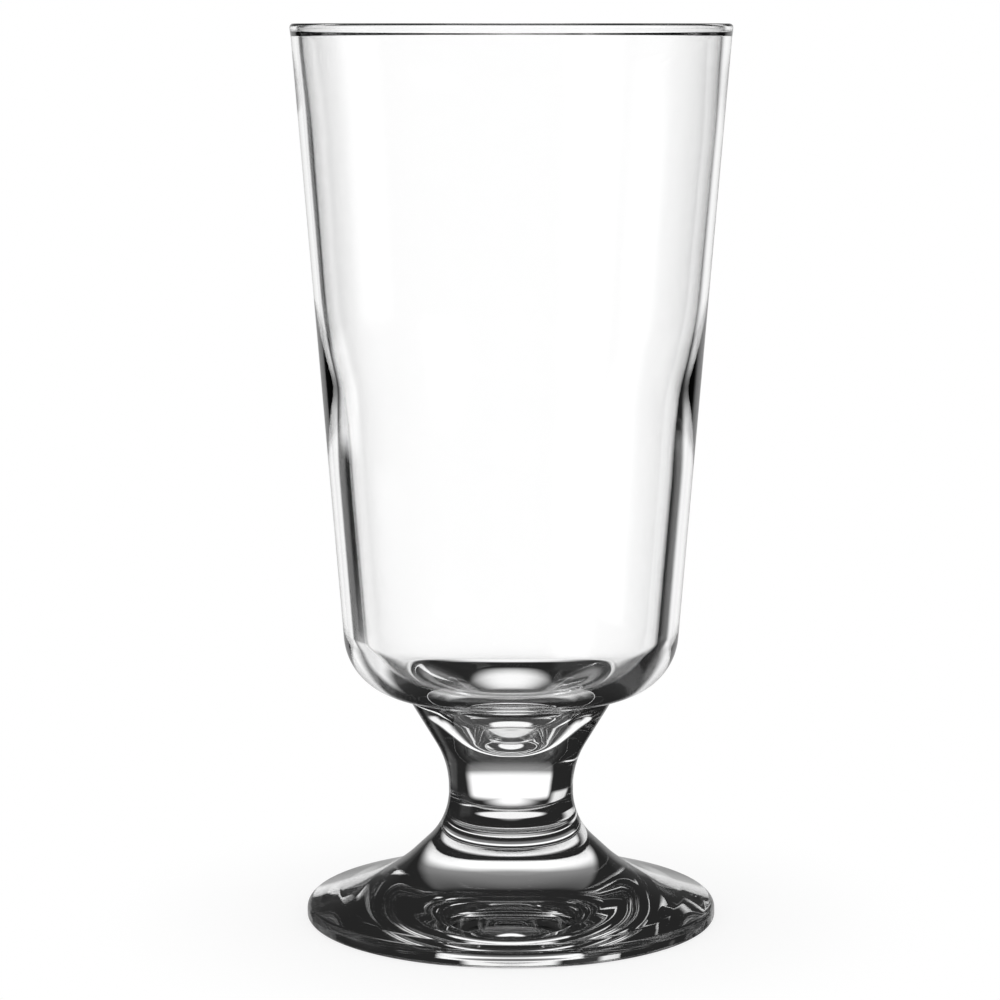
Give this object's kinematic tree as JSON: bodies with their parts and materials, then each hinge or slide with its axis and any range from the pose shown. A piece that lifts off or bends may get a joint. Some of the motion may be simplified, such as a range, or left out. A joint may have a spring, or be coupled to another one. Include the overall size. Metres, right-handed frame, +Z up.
{
  "type": "footed highball glass",
  "caption": "Clear drinking glass with a tapered straight-sided bowl and a rounded rim, on a short waisted stem and a round foot; it holds a mixed drink.",
  "frame": {"origin": "middle of the surface that the foot stands on", "axes": "+Z up along the axis of the glass; X and Y are any two level directions at right angles"},
  "size_m": [0.073, 0.073, 0.1506],
  "materials": {
    "clear_glass": "clear, colourless, fire-polished soda-lime glass"
  },
  "bodies": {
    "root": {"bowl": "clear_glass", "stem": "clear_glass", "foot": "clear_glass"}
  },
  "joints": []
}
